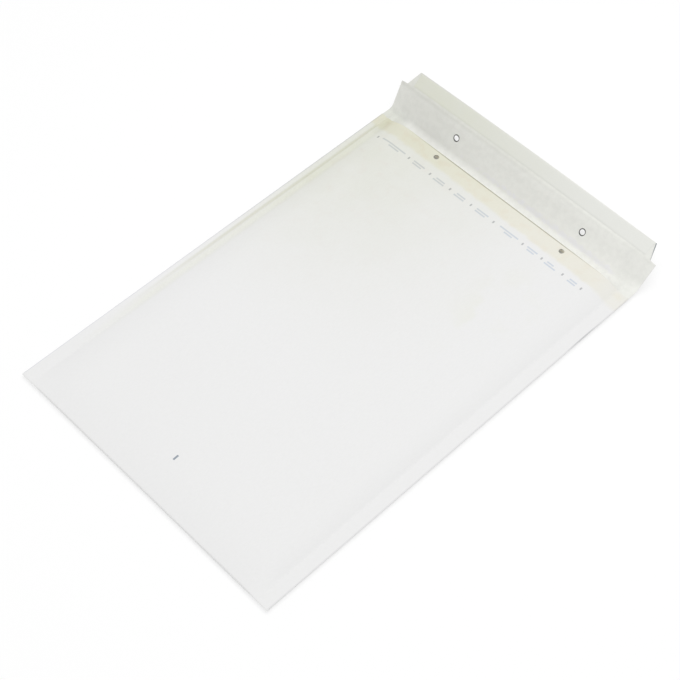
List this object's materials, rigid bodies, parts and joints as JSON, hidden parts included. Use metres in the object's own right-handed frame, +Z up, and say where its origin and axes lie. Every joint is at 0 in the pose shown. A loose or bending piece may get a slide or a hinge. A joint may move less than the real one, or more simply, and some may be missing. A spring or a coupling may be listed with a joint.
{
  "type": "bubble mailer",
  "caption": "White padded paper mailer lined with bubble film, lying on its back with its mouth open and its self-seal flap raised.",
  "frame": {"origin": "middle of the flat back, on the surface that the mailer lies on", "axes": "+Z up out of the front panel, +Y from the bottom fold to the mouth, +X to the right seen from the front with the mouth at the top"},
  "size_m": [0.24, 0.3829, 0.035],
  "materials": {
    "white_paper": "uncoated white kraft, matt, faintly mottled",
    "bubble_film": "clear polyethylene, glossy",
    "hot_melt": "tacky pale yellow hot melt",
    "silicone_paper": "cream release paper with a soft sheen"
  },
  "bodies": {
    "root": {"paper_envelope": "white_paper", "bubble_liner": "bubble_film", "flap_adhesive": "hot_melt", "release_strip": "silicone_paper"}
  },
  "joints": []
}
